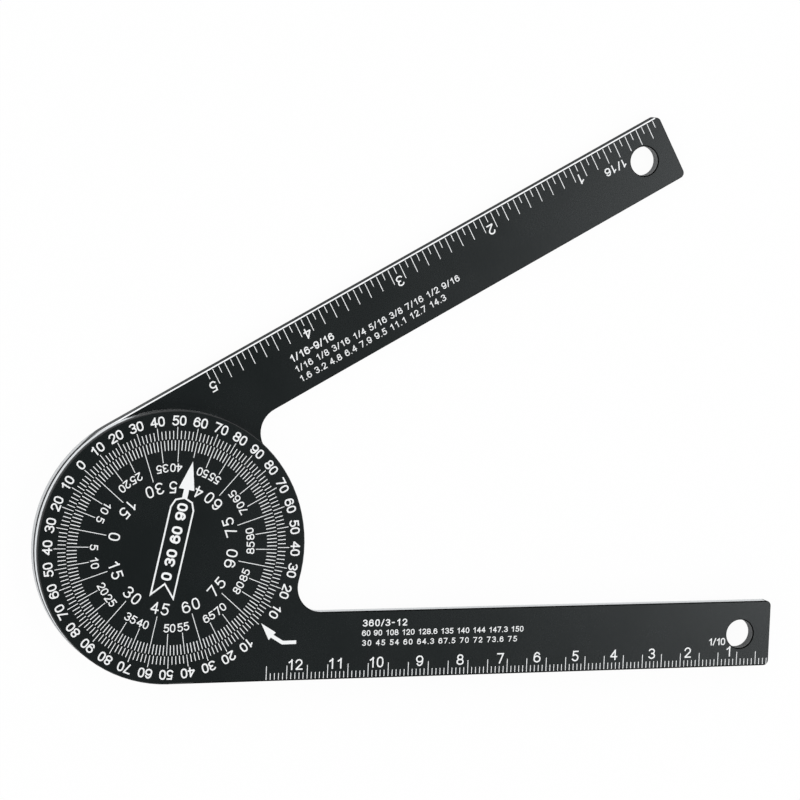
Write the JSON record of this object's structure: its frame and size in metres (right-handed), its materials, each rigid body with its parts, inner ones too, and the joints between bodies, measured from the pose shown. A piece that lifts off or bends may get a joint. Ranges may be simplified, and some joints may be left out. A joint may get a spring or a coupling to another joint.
{
  "type": "miter saw protractor",
  "caption": "Two flat arms stacked on a stepped dial, which turn about it to measure a corner and read its single-cut and mitre settings.",
  "frame": {"origin": "on the pivot axis, at the back face of the inch arm", "axes": "+X along the inch arm towards its end, +Z out of the dial's face"},
  "size_m": [0.1837, 0.1328, 0.0061],
  "materials": {
    "inch_arm_anodised": "black anodised, satin, with bright bevels",
    "metric_arm_anodised": "black anodised, satin, with bright bevels",
    "dial_anodised": "black anodised, satin",
    "washer_nylon": "natural nylon",
    "screw_steel": "zinc plated"
  },
  "bodies": {
    "inch_side": {"inch_arm": "inch_arm_anodised", "dial": "dial_anodised", "friction_washer": "washer_nylon", "dial_screw_1": "screw_steel", "dial_screw_2": "screw_steel", "dial_screw_3": "screw_steel", "dial_screw_4": "screw_steel"},
    "metric_side": {"metric_arm": "metric_arm_anodised"}
  },
  "joints": [
    {"name": "arm_swing", "type": "hinge", "parent": "inch_side", "child": "metric_side", "pos_m": [0, 0, 0.0045], "axis": [0, 0, 1], "continuous": true}
  ]
}
